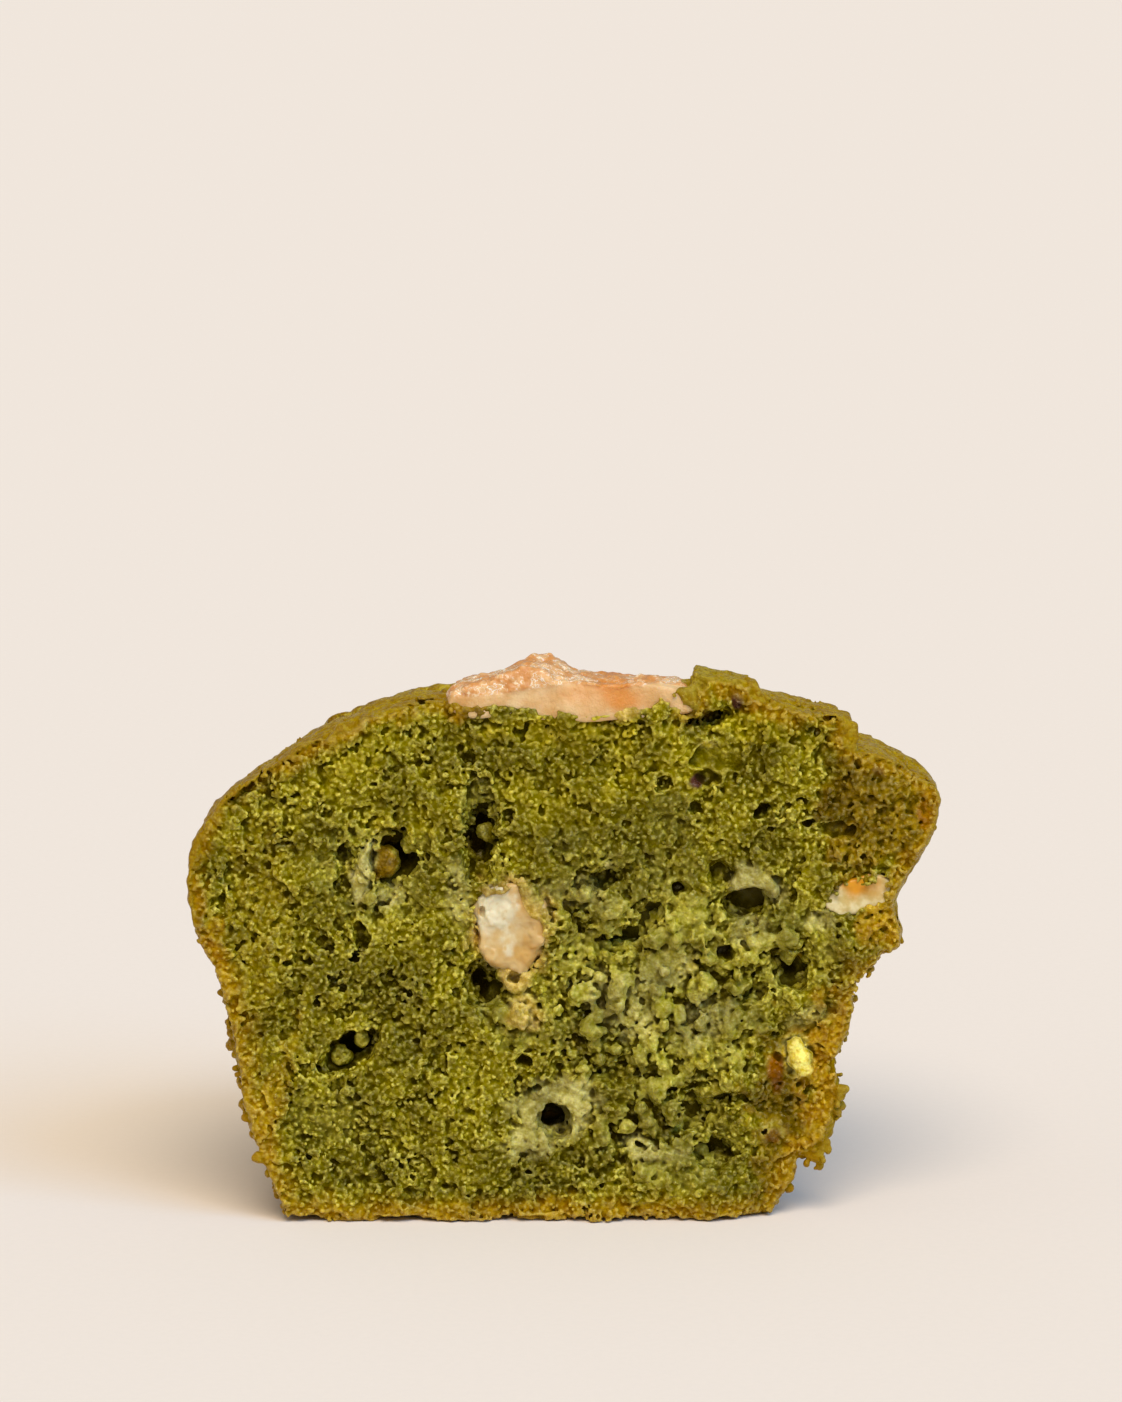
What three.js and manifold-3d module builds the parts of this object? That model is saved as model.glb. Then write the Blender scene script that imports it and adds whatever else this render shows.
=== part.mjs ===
// Half of a green tea muffin, cut from top to bottom and standing on its base.
// Four solids: the sponge with its crust, a melted chunk of white chocolate on the dome,
// and two chunks that the cut has opened, one in the middle and one at the right edge.
// Millimetres, +Z up. The cut face looks along -Y. The origin is the centre of the round
// base, on the axis of the whole muffin.

import * as THREE from "three";
import { mergeVertices } from "three/addons/utils/BufferGeometryUtils.js";
import Module from "manifold-3d";

const wasm = await Module();
wasm.setup();

// Driving dimensions
const CUP_DEPTH = 26;        // from the base to the rim of the baking cup
const LIP_HEIGHT = 34.5;     // the widest level of the overhanging lip
const SHOULDER_HEIGHT = 45.8;
const DOME_HEIGHT = 52.8;
const CUT_Y = -3;            // the cut runs this far in front of the axis
const FIT_GAP = 0.3;         // left free between the sponge and each chunk

// Mesh density
const PROFILE_STEP = 2.3;
const RING_STEPS = 70;
const CUT_CELL = 1.55;

// The upright profile at the left, the right and the back: radius and height of each station.
// The right side leans out and has the lip's nose highest.
const LEFT_PROFILE = [
  [26.0, 0], [27.2, 3.2], [30.0, 12.5], [31.0, 18], [33.0, CUP_DEPTH], [34.7, CUP_DEPTH + 3],
  [35.6, LIP_HEIGHT], [33.5, LIP_HEIGHT + 6.1], [28.0, SHOULDER_HEIGHT], [20.8, 49.3],
  [11.3, 51.9], [0, DOME_HEIGHT],
];
const RIGHT_PROFILE = [
  [22.7, 0], [24.5, 3.2], [27.4, 12.5], [29.8, 18], [32.3, CUP_DEPTH - 0.6], [35.3, CUP_DEPTH + 1.6],
  [34.6, LIP_HEIGHT - 2.2], [39.6, LIP_HEIGHT + 8], [35.6, SHOULDER_HEIGHT + 0.6], [26.2, 48.8],
  [13.0, 52.2], [0, DOME_HEIGHT],
];
const BACK_PROFILE = [
  [24.4, 0], [25.5, 3.2], [28.6, 12.5], [30.0, 18], [32.5, CUP_DEPTH], [35.0, CUP_DEPTH + 2.7],
  [37.2, LIP_HEIGHT], [35.9, LIP_HEIGHT + 6.6], [30.6, SHOULDER_HEIGHT], [22.2, 49.3],
  [12.0, 51.9], [0, DOME_HEIGHT],
];

// Rises smoothly from 0 at `from` to 1 at `to`, which may be the smaller of the two.
function smoothstep(from, to, value) {
  const share = THREE.MathUtils.clamp((value - from) / (to - from), 0, 1);
  return share * share * (3 - 2 * share);
}

// Repeatable noise: smooth lumps from -1 to 1, about `size` millimetres across.
function hash(i, j, k) {
  const wave = Math.sin(i * 127.1 + j * 311.7 + k * 74.7) * 43758.5453;
  return (wave - Math.floor(wave)) * 2 - 1;
}

function lumps(x, y, z, size) {
  const point = [x / size, y / size, z / size];
  const cell = point.map(Math.floor);
  const [u, v, w] = point.map((value, axis) => smoothstep(0, 1, value - cell[axis]));
  let sum = 0;
  for (const [di, a] of [[0, 1 - u], [1, u]]) {
    for (const [dj, b] of [[0, 1 - v], [1, v]]) {
      for (const [dk, c] of [[0, 1 - w], [1, w]]) {
        sum += a * b * c * hash(cell[0] + di, cell[1] + dj, cell[2] + dk);
      }
    }
  }
  return sum;
}

// A three.js geometry becomes a solid once its seams are merged.
function toSolid(geometry) {
  const bare = geometry.clone();
  bare.deleteAttribute("normal");
  bare.deleteAttribute("uv");
  const merged = mergeVertices(bare, 1e-4);
  return new wasm.Manifold(new wasm.Mesh({
    numProp: 3,
    vertProperties: new Float32Array(merged.attributes.position.array),
    triVerts: new Uint32Array(merged.index.array),
  }));
}

// The largest piece of a solid, without the loose scraps that a cut can leave.
function largest(solid) {
  return solid.decompose().reduce((best, piece) => (piece.volume() > best.volume() ? piece : best));
}

function toGeometry(solid) {
  const mesh = solid.getMesh();
  const geometry = new THREE.BufferGeometry();
  geometry.setAttribute("position", new THREE.BufferAttribute(new Float32Array(mesh.vertProperties), 3));
  geometry.setIndex(new THREE.BufferAttribute(new Uint32Array(mesh.triVerts), 1));
  geometry.computeVertexNormals();
  return geometry;
}

function movePoints(geometry, move) {
  const position = geometry.attributes.position;
  const point = new THREE.Vector3();
  for (let i = 0; i < position.count; i += 1) {
    point.fromBufferAttribute(position, i);
    move(point, i);
    position.setXYZ(i, point.x, point.y, point.z);
  }
  return geometry;
}

// The whole muffin

// Steps from each station to the next, the same on every profile.
const STATION_STEPS = BACK_PROFILE.slice(1).map(([radius, height], i) => {
  const [lowRadius, lowHeight] = BACK_PROFILE[i];
  return Math.ceil(Math.hypot(radius - lowRadius, height - lowHeight) / PROFILE_STEP);
});

function profileCurve(stations) {
  const points = stations.map(([radius, height]) => new THREE.Vector3(radius, height, 0));
  const flatBase = new THREE.LineCurve3(new THREE.Vector3(0, 0, 0), points[0]);
  const side = new THREE.CatmullRomCurve3(points, false, "centripetal");
  const BASE_STEPS = 4;
  const upright = STATION_STEPS.flatMap((steps, i) => Array.from(
    { length: steps },
    (_, step) => side.getPoint((i + (step + 1) / steps) / STATION_STEPS.length),
  ));
  return [...flatBase.getPoints(BASE_STEPS), ...upright];
}

const leftCurve = profileCurve(LEFT_PROFILE);
const rightCurve = profileCurve(RIGHT_PROFILE);
const backCurve = profileCurve(BACK_PROFILE);

// Radius and height of profile step j in the direction `angle`.
function profilePoint(j, angle) {
  const side = Math.cos(angle);
  const weight = smoothstep(0, 1, Math.abs(side));
  const flank = side > 0 ? rightCurve[j] : leftCurve[j];
  return new THREE.Vector3().lerpVectors(backCurve[j], flank, weight);
}

function wholeMuffin() {
  const rows = backCurve.length;
  const outline = backCurve.map((point) => new THREE.Vector2(point.x, point.y));
  const geometry = new THREE.LatheGeometry(outline, RING_STEPS);
  movePoints(geometry, (point, i) => {
    const angle = (Math.floor(i / rows) / RING_STEPS) * Math.PI * 2;
    const station = profilePoint(i % rows, angle);
    let [radius, height] = [station.x, station.y];
    const around = [Math.cos(angle), Math.sin(angle)];
    const [x, y] = around.map((share) => share * radius);
    const aboveBase = smoothstep(0, 4, height);
    const onDome = smoothstep(SHOULDER_HEIGHT - 4, SHOULDER_HEIGHT + 2, height);
    const offAxis = smoothstep(0, 8, radius);
    const sideRelief = 0.55 * lumps(x, y, height, 6) + 0.35 * lumps(x, y, height + 40, 3.4);
    const baseRelief = 0.4 * lumps(x, y, 9, 3);
    radius += offAxis * (aboveBase * (1 - onDome) * sideRelief + (1 - aboveBase) * baseRelief);
    height += onDome * 0.5 * lumps(x, y, 7, 7);
    point.set(around[0] * radius, around[1] * radius, height);
  });
  return toSolid(geometry);
}

// Plates of crust that the rising dome pushed up, broken off at their edges: the outline of
// each as seen from above, and how far it stands over the dome.
const CRUST_PLATES = [
  {
    rise: 2.8,
    outline: [[13.4, -9], [14.2, 1], [17, 7.5], [22.5, 9.5], [27.5, 7], [29.9, 1.5], [30.2, -9]],
  },
  { rise: 3.9, outline: [[14, -9], [14.8, 1], [17.2, 4.5], [20, 3.5], [21.2, -9]] },
  { rise: 0.7, outline: [[-19.6, -9], [-20, -1], [-17.5, 5], [-13, 7.5], [-8, 5], [-7, -9]] },
  {
    rise: 1.2,
    outline: [
      [-22, 16], [-14, 14.5], [-5, 16.5], [4, 15.5], [11, 18],
      [14, 22], [9, 27], [-3, 29], [-15, 27], [-22, 21],
    ],
  },
];

function crustPlate(muffin, { rise, outline }) {
  const TALL = 30;
  const rim = new THREE.SplineCurve(outline.concat([outline[0]]).map(([x, y]) => new THREE.Vector2(x, y)));
  const crumbled = rim.getPoints(outline.length * 4).slice(0, -1).map((point) => new THREE.Vector2(
    point.x + 0.5 * lumps(point.x, point.y, 5, 2.2),
    point.y + 0.5 * lumps(point.x, point.y, 25, 2.2),
  ));
  const prism = new THREE.ExtrudeGeometry(new THREE.Shape(crumbled), { depth: TALL, bevelEnabled: false });
  return muffin.translate([0, 0, rise]).intersect(toSolid(prism.translate(0, 0, SHOULDER_HEIGHT - 4)));
}

// The cut face

// How far back the cut surface lies at (x, z): broken crumb, with a torn corner at the lower right.
function cutSurface(x, z) {
  const tornCorner = smoothstep(19, 27, x + 0.15 * (18 - z)) * smoothstep(24, 17, z);
  const crumb = 0.5 * lumps(x, 3, z, 6.5) + 0.45 * lumps(x, 17, z, 2.9);
  const underLip = smoothstep(30, 35, x) * smoothstep(38, 33, z);
  return CUT_Y + crumb + 2.2 * tornCorner + 1.2 * underLip;
}

// Everything in front of the cut surface, brought forward by `proud`.
function inFrontOfCut(proud) {
  const WIDTH = 92;
  const HEIGHT = 72;
  const DEPTH = 60;
  const geometry = new THREE.BoxGeometry(
    WIDTH, DEPTH, HEIGHT, Math.round(WIDTH / CUT_CELL), 1, Math.round(HEIGHT / CUT_CELL),
  );
  movePoints(geometry, (point) => {
    point.z += HEIGHT / 2 - 6;
    point.y = point.y > 0 ? cutSurface(point.x, point.z) - proud : -DEPTH;
  });
  return toSolid(geometry);
}

// A lumpy ball: half sizes along X, Y and Z, turned by `tilt` degrees in the cut face.
function lumpyBall({ x, y, z, half, tilt = 0, rough = 0.12, seed = 0, columns = 14, rows = 9 }, grow = 0) {
  const geometry = new THREE.SphereGeometry(1, columns, rows);
  movePoints(geometry, (point) => {
    const swell = 1 + rough * lumps(point.x * 2 + seed, point.y * 2, point.z * 2, 1.1);
    point.multiplyScalar(swell);
    point.set(point.x * (half[0] + grow), point.y * (half[1] + grow), point.z * (half[2] + grow));
    point.applyAxisAngle(new THREE.Vector3(0, 1, 0), -THREE.MathUtils.degToRad(tilt));
    point.add(new THREE.Vector3(x, y, z));
  });
  return toSolid(geometry);
}

// Pores that the cut has opened: place in the cut face, half width, half height, depth and tilt.
const PORES = [
  { x: -19.9, z: 37.4, wide: 1.2, high: 1.0, deep: 3 },
  { x: -14.9, z: 36.7, wide: 2.4, high: 2.8, deep: 5 },
  { x: -6.4, z: 38.4, wide: 1.8, high: 4.5, deep: 5, tilt: -6 },
  { x: -6.3, z: 24.0, wide: 1.9, high: 2.4, deep: 4.2 },
  { x: -19.5, z: 17.4, wide: 3.3, high: 1.9, deep: 5, tilt: 36 },
  { x: 0.8, z: 10.4, wide: 1.8, high: 1.5, deep: 6.5 },
  { x: 6.3, z: 34.8, wide: 1.3, high: 1.0, deep: 3.5 },
  { x: 17.2, z: 35.4, wide: 1.7, high: 1.1, deep: 3.5 },
  { x: 20.1, z: 32.6, wide: 2.5, high: 1.2, deep: 4, tilt: 16 },
  { x: 24.4, z: 25.3, wide: 1.6, high: 1.7, deep: 4.5 },
  { x: 21.0, z: 23.4, wide: 1.1, high: 0.8, deep: 3 },
  { x: 10.6, z: 31.2, wide: 1.1, high: 1.1, deep: 4 },
  { x: 8.2, z: 28.9, wide: 3.4, high: 1.0, deep: 3.4, tilt: 10 },
  { x: 16.1, z: 50.7, wide: 2.6, high: 0.8, deep: 4, tilt: 17 },
  { x: 6.8, z: 14.9, wide: 3.0, high: 1.0, deep: 1.8 },
  { x: 15.6, z: 11.5, wide: 3.0, high: 1.6, deep: 3.6, tilt: 28 },
  { x: 17.2, z: 6.7, wide: 2.6, high: 1.8, deep: 3.6, tilt: -12 },
];

function pore({ x, z, wide, high, deep, tilt = 0 }, index) {
  const y = cutSurface(x, z) - 0.4;
  const seed = index * 5;
  return lumpyBall({ x, y, z, half: [wide, deep, high], tilt, rough: 0.3, seed, columns: 10, rows: 7 });
}

// The torn lobe of side crust at the lower right, which hangs clear of the base.
function hangingLobe() {
  const lobe = { x: 26.5, y: 1.2, z: 12.4, half: [3.1, 4.8, 6.6], tilt: -4, rough: 0.16, seed: 31 };
  const tip = { x: 27.1, y: -0.2, z: 6.7, half: [1.3, 1.9, 2.2], rough: 0.3, seed: 47 };
  return lumpyBall(lobe).add(lumpyBall({ ...tip, columns: 10, rows: 7 }));
}

// The chunks

const MIDDLE_CHUNK = {
  x: -3.4, y: CUT_Y + 1.6, z: 30.2, half: [3.7, 4.2, 4.7],
  tilt: 12, rough: 0.22, seed: 11, columns: 16, rows: 10,
};
const SIDE_CHUNK = {
  x: 31.3, y: CUT_Y + 2.7, z: 33.3, half: [3.9, 3.4, 2.0],
  tilt: 17, rough: 0.15, seed: 23, columns: 16, rows: 10,
};

// The chunk on the dome: a flat melted slab whose skin rises in a fold near its middle.
const TOP_CHUNK = { x: 2.7, y: CUT_Y + 1.8, z: 52.8, half: [12.3, 10.5, 1.9] };

function topChunk(grow) {
  const { x, y, z, half } = TOP_CHUNK;
  const COLUMNS = 30;
  const ROWS = 14;
  const FLATNESS = 0.55;     // below 1 the edges are blunt
  const geometry = new THREE.SphereGeometry(1, COLUMNS, ROWS);
  geometry.rotateX(Math.PI / 2);
  movePoints(geometry, (point) => {
    const level = Math.sign(point.z) * Math.abs(point.z) ** FLATNESS;
    point.set(
      x + point.x * (half[0] + grow),
      y + point.y * (half[1] + grow),
      z + level * (half[2] + grow),
    );
    const upper = smoothstep(0, 1, level);
    const fold = 2 * Math.exp(-(((point.x + 1.2 - 0.25 * point.y) / 2.6) ** 2)) * smoothstep(8, 2, point.y);
    const blisters = 0.45 * lumps(point.x, point.y, 3, 3.6);
    const backDroop = 0.035 * (point.y - y) ** 2 * smoothstep(4, 9, point.y);
    point.z += upper * (fold + blisters - backDroop) + (1 - upper) * 0.3 * lumps(point.x, point.y, 8, 4);
  });
  return toSolid(geometry);
}

// Cutting and joining

const aheadOfSponge = inFrontOfCut(0);
const aheadOfChunks = inFrontOfCut(0.5);

const muffinBeforeCut = wholeMuffin();
let sponge = muffinBeforeCut.add(hangingLobe());
for (const plate of CRUST_PLATES) {
  sponge = sponge.add(crustPlate(muffinBeforeCut, plate));
}
sponge = sponge.subtract(aheadOfSponge);
for (const [index, place] of PORES.entries()) {
  sponge = sponge.subtract(pore(place, index));
}
const chunkSolids = {
  middle_chunk: lumpyBall(MIDDLE_CHUNK).subtract(aheadOfChunks),
  side_chunk: lumpyBall(SIDE_CHUNK).subtract(aheadOfChunks),
  top_chunk: topChunk(0).subtract(aheadOfChunks),
};
sponge = sponge
  .subtract(lumpyBall(MIDDLE_CHUNK, FIT_GAP))
  .subtract(lumpyBall(SIDE_CHUNK, FIT_GAP))
  .subtract(topChunk(FIT_GAP));

// The model

const materials = {
  sponge: new THREE.MeshStandardMaterial({ color: 0x7d6c1f, roughness: 0.75, metalness: 0 }),
  toasted: new THREE.MeshStandardMaterial({ color: 0xe3b379, roughness: 0.4, metalness: 0 }),
  creamy: new THREE.MeshStandardMaterial({ color: 0xd6b980, roughness: 0.45, metalness: 0 }),
};

function namedMesh(name, solid, material) {
  const mesh = new THREE.Mesh(toGeometry(largest(solid)), material);
  mesh.name = name;
  return mesh;
}

const muffin = new THREE.Group();
muffin.add(
  namedMesh("sponge", sponge, materials.sponge),
  namedMesh("top_chunk", chunkSolids.top_chunk, materials.toasted),
  namedMesh("middle_chunk", chunkSolids.middle_chunk, materials.creamy),
  namedMesh("side_chunk", chunkSolids.side_chunk, materials.creamy),
);

export default muffin;
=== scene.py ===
"""Looks of half a green tea muffin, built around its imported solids.

The solids become distance fields on a grid. Grains, clumps, holes and wrinkles are added, and
the fields are meshed again as crumb, crust and chunks of white chocolate. Fields and sizes are
in millimetres, objects in metres, both in the frame of the solids.
"""

import itertools
import math

import bpy
import numpy as np
import openvdb
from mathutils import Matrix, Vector


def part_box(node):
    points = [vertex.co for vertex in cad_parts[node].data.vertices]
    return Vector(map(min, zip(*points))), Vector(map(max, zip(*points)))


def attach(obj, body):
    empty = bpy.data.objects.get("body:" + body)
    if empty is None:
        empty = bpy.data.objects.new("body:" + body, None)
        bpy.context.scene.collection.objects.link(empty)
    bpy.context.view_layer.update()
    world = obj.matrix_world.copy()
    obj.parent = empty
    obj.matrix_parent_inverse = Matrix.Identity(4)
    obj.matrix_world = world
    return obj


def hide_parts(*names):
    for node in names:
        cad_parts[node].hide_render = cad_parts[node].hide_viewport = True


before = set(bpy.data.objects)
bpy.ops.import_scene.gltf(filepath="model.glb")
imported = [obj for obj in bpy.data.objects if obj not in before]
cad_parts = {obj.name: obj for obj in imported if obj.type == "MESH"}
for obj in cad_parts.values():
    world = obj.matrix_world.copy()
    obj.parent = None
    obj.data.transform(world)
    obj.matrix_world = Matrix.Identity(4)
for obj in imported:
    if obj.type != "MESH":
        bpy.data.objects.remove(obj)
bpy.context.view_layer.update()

MM = 0.001

# The muffin's own sizes, as in the solids
CUT_Y = -3.0
LIP_FOLD = 28.5
LIP_HEIGHT = 34.5
SHOULDER = 45.8

# The grids: a coarse one round the whole muffin and a fine one for the crumb at the cut
WHOLE_VOXEL = 0.25
CRUMB_VOXEL = 0.13
SPACE_LOW = (-38.5, -5.5, -1.1)
SPACE_HIGH = (41.8, 40.0, 58.9)
CRUMB_LOW = (-38.5, -4.9, -1.1)
CRUMB_HIGH = (41.8, 2.2, 58.9)

# How far from a solid its distances are known, and a field's value away from its surface
BAND = 1.9
FAR = 1.2

# Where the crumb layer ends behind the cut, and where it is divided from left to right
CRUMB_DEPTH = 3.7
CRUMB_SPLITS = (-16.0, 1.0, 18.0)
OVERLAP = 0.7
TUCK = 0.13


# Noise and blends, the same in each run

NOISE_SIDE = 64
NOISE_SEED = 41
NOISE = np.random.default_rng(NOISE_SEED).uniform(-1, 1, (NOISE_SIDE,) * 3).astype(np.float32)
TURN_SEED = 900
SEED_SHIFT = 7.31
AXIS_SHIFT = 0.37
GRID_NOISE_GAIN = 2.1


def turned_axes(seed):
    """A rotation matrix that belongs to the seed."""
    square = np.random.default_rng(seed + TURN_SEED).normal(size=(3, 3))
    return np.linalg.qr(square)[0].astype(np.float32)


def between_corners(part, values_at):
    """Values inside cells, from values_at(corner) for the eight corners."""
    total = 0
    for corner in itertools.product((0, 1), repeat=3):
        weight = 1
        for a in range(3):
            weight = weight * (part[:, a] if corner[a] else 1 - part[:, a])
        total = total + weight * values_at(corner)
    return total


def noise(points, size, seed):
    """Smooth lumps from -1 to 1, about `size` across, at each point."""
    place = points @ turned_axes(seed) / size + np.float32(seed * SEED_SHIFT)
    cell = np.floor(place).astype(np.int32)
    part = place - cell
    part = part * part * (3 - 2 * part)
    last = NOISE_SIDE - 1
    return between_corners(part, lambda corner: NOISE[tuple(((cell + corner) & last).T)])


def smoothstep(start, end, value):
    """Rises from 0 at start to 1 at end, which may be the smaller one."""
    share = np.clip((value - start) / (end - start), 0, 1)
    return share * share * (3 - 2 * share)


def smooth_min(a, b, blend):
    """The smaller of two distances, rounded where they are close."""
    close = np.maximum(blend - np.abs(a - b), 0) / blend
    return np.minimum(a, b) - close * close * blend / 4


# Fields


class Grid:
    """A box of cells, with the muffin's place in millimetres."""

    def __init__(self, low, high, voxel):
        self.low = np.array(low, np.float32)
        self.voxel = voxel
        self.count = np.ceil((np.array(high) - self.low) / voxel).astype(int)
        self.high = self.low + self.count * voxel
        self.axes = [
            (self.low[a] + np.arange(self.count[a]) * voxel).astype(np.float32) for a in range(3)
        ]
        self.x = self.axes[0][:, None, None]
        self.y = self.axes[1][None, :, None]
        self.z = self.axes[2][None, None, :]

    def noise(self, size, seed):
        """Smooth noise at the cells, mostly from -1 to 1."""
        start = np.array(SPACE_LOW) - 3 * size
        nodes = np.ceil((np.array(SPACE_HIGH) - start) / size).astype(int) + 5
        field = np.random.default_rng(seed).uniform(-1, 1, nodes).astype(np.float32)
        for axis in range(3):
            place = (self.axes[axis] - start[axis]) / size + AXIS_SHIFT * axis
            cell = np.floor(place).astype(int)
            part = (place - cell).reshape([-1 if a == axis else 1 for a in range(3)])
            weights = (
                (1 - part) ** 3 / 6,
                (3 * part**3 - 6 * part**2 + 4) / 6,
                (-3 * part**3 + 3 * part**2 + 3 * part + 1) / 6,
                part**3 / 6,
            )
            summed = 0
            for step, weight in enumerate(weights):
                summed = summed + np.take(field, cell - 1 + step, axis) * weight.astype(np.float32)
            field = summed
        return field * np.float32(GRID_NOISE_GAIN)

    def resample(self, field, source):
        """A field of the grid `source`, read at this grid's cells."""
        for axis in range(3):
            place = (self.axes[axis] - source.low[axis]) / source.voxel
            cell = np.clip(np.floor(place).astype(int), 0, source.count[axis] - 2)
            part = np.clip(place - cell, 0, 1).astype(np.float32)
            part = part.reshape([-1 if a == axis else 1 for a in range(3)])
            below = np.take(field, cell, axis)
            field = below + part * (np.take(field, cell + 1, axis) - below)
        return field

    def at(self, field, points):
        """A field's value at each point, between the cells."""
        place = (points - self.low) / np.float32(self.voxel)
        cell = np.clip(np.floor(place).astype(np.int32), 0, self.count - 2)
        part = np.clip(place - cell, 0, 1)
        return between_corners(part, lambda corner: field[tuple((cell + corner).T)])


WHOLE = Grid(SPACE_LOW, SPACE_HIGH, WHOLE_VOXEL)
CRUMB = Grid(CRUMB_LOW, CRUMB_HIGH, CRUMB_VOXEL)


def vertex_points(piece):
    """A piece's vertices in millimetres."""
    points = np.empty((len(piece.data.vertices), 3), np.float32)
    piece.data.vertices.foreach_get("co", points.ravel())
    return points / np.float32(MM)


def distance_field(node, grid):
    """The distance to a node's solid on a grid, negative inside."""
    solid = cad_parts[node]
    solid.data.calc_loop_triangles()
    triangles = np.empty((len(solid.data.loop_triangles), 3), np.int32)
    solid.data.loop_triangles.foreach_get("vertices", triangles.ravel())
    level_set = openvdb.FloatGrid.createLevelSetFromPolygons(
        (vertex_points(solid) - grid.low) / np.float32(grid.voxel),
        triangles=triangles.astype(np.uint32),
        transform=openvdb.createLinearTransform(voxelSize=1.0),
        halfWidth=BAND / grid.voxel,
    )
    field = np.empty(tuple(grid.count), np.float32)
    level_set.copyToArray(field, ijk=(0, 0, 0))
    return field * np.float32(grid.voxel)


def blur(field, passes):
    """A box blur over three cells along each axis, repeated."""
    for _ in range(passes):
        for axis in range(3):
            moved = np.moveaxis(field, axis, 0)
            summed = moved.copy()
            summed[1:] += moved[:-1]
            summed[:-1] += moved[1:]
            summed[0] += moved[0]
            summed[-1] += moved[-1]
            summed /= 3
            field = np.moveaxis(summed, 0, axis)
    return np.ascontiguousarray(field)


# Balls: how far they leave their places, their stretch, and how far small ones prevail
BALL_SHAKE = 0.38
BALL_STRETCH = (0.7, 1.35)
BALL_POWER = 1.4


def scatter(grid, spacing, radii, share, seed):
    """Balls in the cells of a shaken lattice: centres, radii, stretches and a chance each."""
    rng = np.random.default_rng(seed)
    low = grid.low.astype(float)
    cells = np.ceil((grid.high - low) / spacing).astype(int)
    index = np.stack(np.meshgrid(*(np.arange(n) for n in cells), indexing="ij"), -1).reshape(-1, 3)
    index = index[rng.random(len(index)) < share]
    centres = low + (index + 0.5 + rng.uniform(-BALL_SHAKE, BALL_SHAKE, index.shape)) * spacing
    radius = radii[0] + (radii[1] - radii[0]) * rng.random(len(centres)) ** BALL_POWER
    stretch = rng.uniform(*BALL_STRETCH, centres.shape)
    chance = rng.random(len(centres))
    return tuple(part.astype(np.float32) for part in (centres, radius, stretch, chance))


def lay(grid, field, base, balls, depths, zone, blend):
    """Joins balls to a field, where their centres lie between two depths under `base`.

    A ball is used where zone(centre) is above its chance.
    """
    centres, radius, stretch, chance = balls
    reach = int(math.ceil((radius.max() * BALL_STRETCH[1] + blend) / grid.voxel))
    voxel = np.rint((centres - grid.low) / grid.voxel).astype(int)
    used = np.all((voxel >= reach) & (voxel < grid.count - reach), axis=1)
    depth = -base[tuple(voxel[used].T)]
    used[used] = (depth > depths[0]) & (depth < depths[1])
    used[used] = chance[used] < zone(centres[used])
    centres, radius, stretch, voxel = (part[used] for part in (centres, radius, stretch, voxel))
    from_centre = (voxel * grid.voxel + grid.low - centres).astype(np.float32)
    shrink = 1 / stretch
    strides = (int(grid.count[1] * grid.count[2]), int(grid.count[2]), 1)
    flat = voxel @ np.array(strides)
    cells = field.reshape(-1)
    for offset in itertools.product(range(-reach, reach + 1), repeat=3):
        if math.dist(offset, (0, 0, 0)) > reach + 0.5:
            continue
        gap = (from_centre + np.array(offset, np.float32) * np.float32(grid.voxel)) * shrink
        distance = np.sqrt(np.einsum("ij,ij->i", gap, gap)) - radius
        place = flat + sum(o * s for o, s in zip(offset, strides))
        cells[place] = smooth_min(cells[place], distance, np.float32(blend))


# The outline of the cut face, and how far inside it each point lies

# Where it is read, how far it grows past the solids, and points compared at a time
OUTLINE_Y = 3.4
OUTLINE_GROWTH = 0.3
RIM_PART = 40


def outline_distance(fields):
    """For each column of the whole grid along Y, its distance inside the outline."""
    level = int(round((OUTLINE_Y - WHOLE.low[1]) / WHOLE.voxel))
    solid = np.min([field[:, level, :] for field in fields], axis=0) < OUTLINE_GROWTH
    rim = solid.copy()
    rim[1:-1, 1:-1] &= ~(solid[:-2, 1:-1] & solid[2:, 1:-1] & solid[1:-1, :-2] & solid[1:-1, 2:])
    rim_points = np.argwhere(rim).astype(np.float32)
    every = np.argwhere(np.ones_like(solid)).astype(np.float32)
    nearest = np.full(len(every), 1e9, np.float32)
    for part in np.array_split(rim_points, max(1, len(rim_points) // RIM_PART)):
        gaps = every[:, None, :] - part[None, :, :]
        nearest = np.minimum(nearest, np.einsum("ijk,ijk->ij", gaps, gaps).min(1))
    distance = np.sqrt(nearest).reshape(solid.shape) * WHOLE.voxel
    return np.where(solid, distance, -distance).astype(np.float32)


def rim_distance_at(points):
    """The distance inside the outline of the cut face, for each point."""
    flat = points.copy()
    flat[:, 1] = WHOLE.low[1]
    return WHOLE.at(RIM_DISTANCE[:, None, :].repeat(2, 1), flat)


def rim_distance_on(grid):
    """The same distance at a grid's columns."""
    low = (SPACE_LOW[0], 0, SPACE_LOW[2])
    source = Grid(low, (SPACE_HIGH[0], 2 * WHOLE_VOXEL, SPACE_HIGH[2]), WHOLE_VOXEL)
    layer = Grid(low, (SPACE_HIGH[0], grid.voxel, SPACE_HIGH[2]), grid.voxel)
    return layer.resample(RIM_DISTANCE[:, None, :].repeat(2, 1), source)


# Places in the cut face: centre x and z, half width, half height, tilt in degrees, strength

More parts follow.
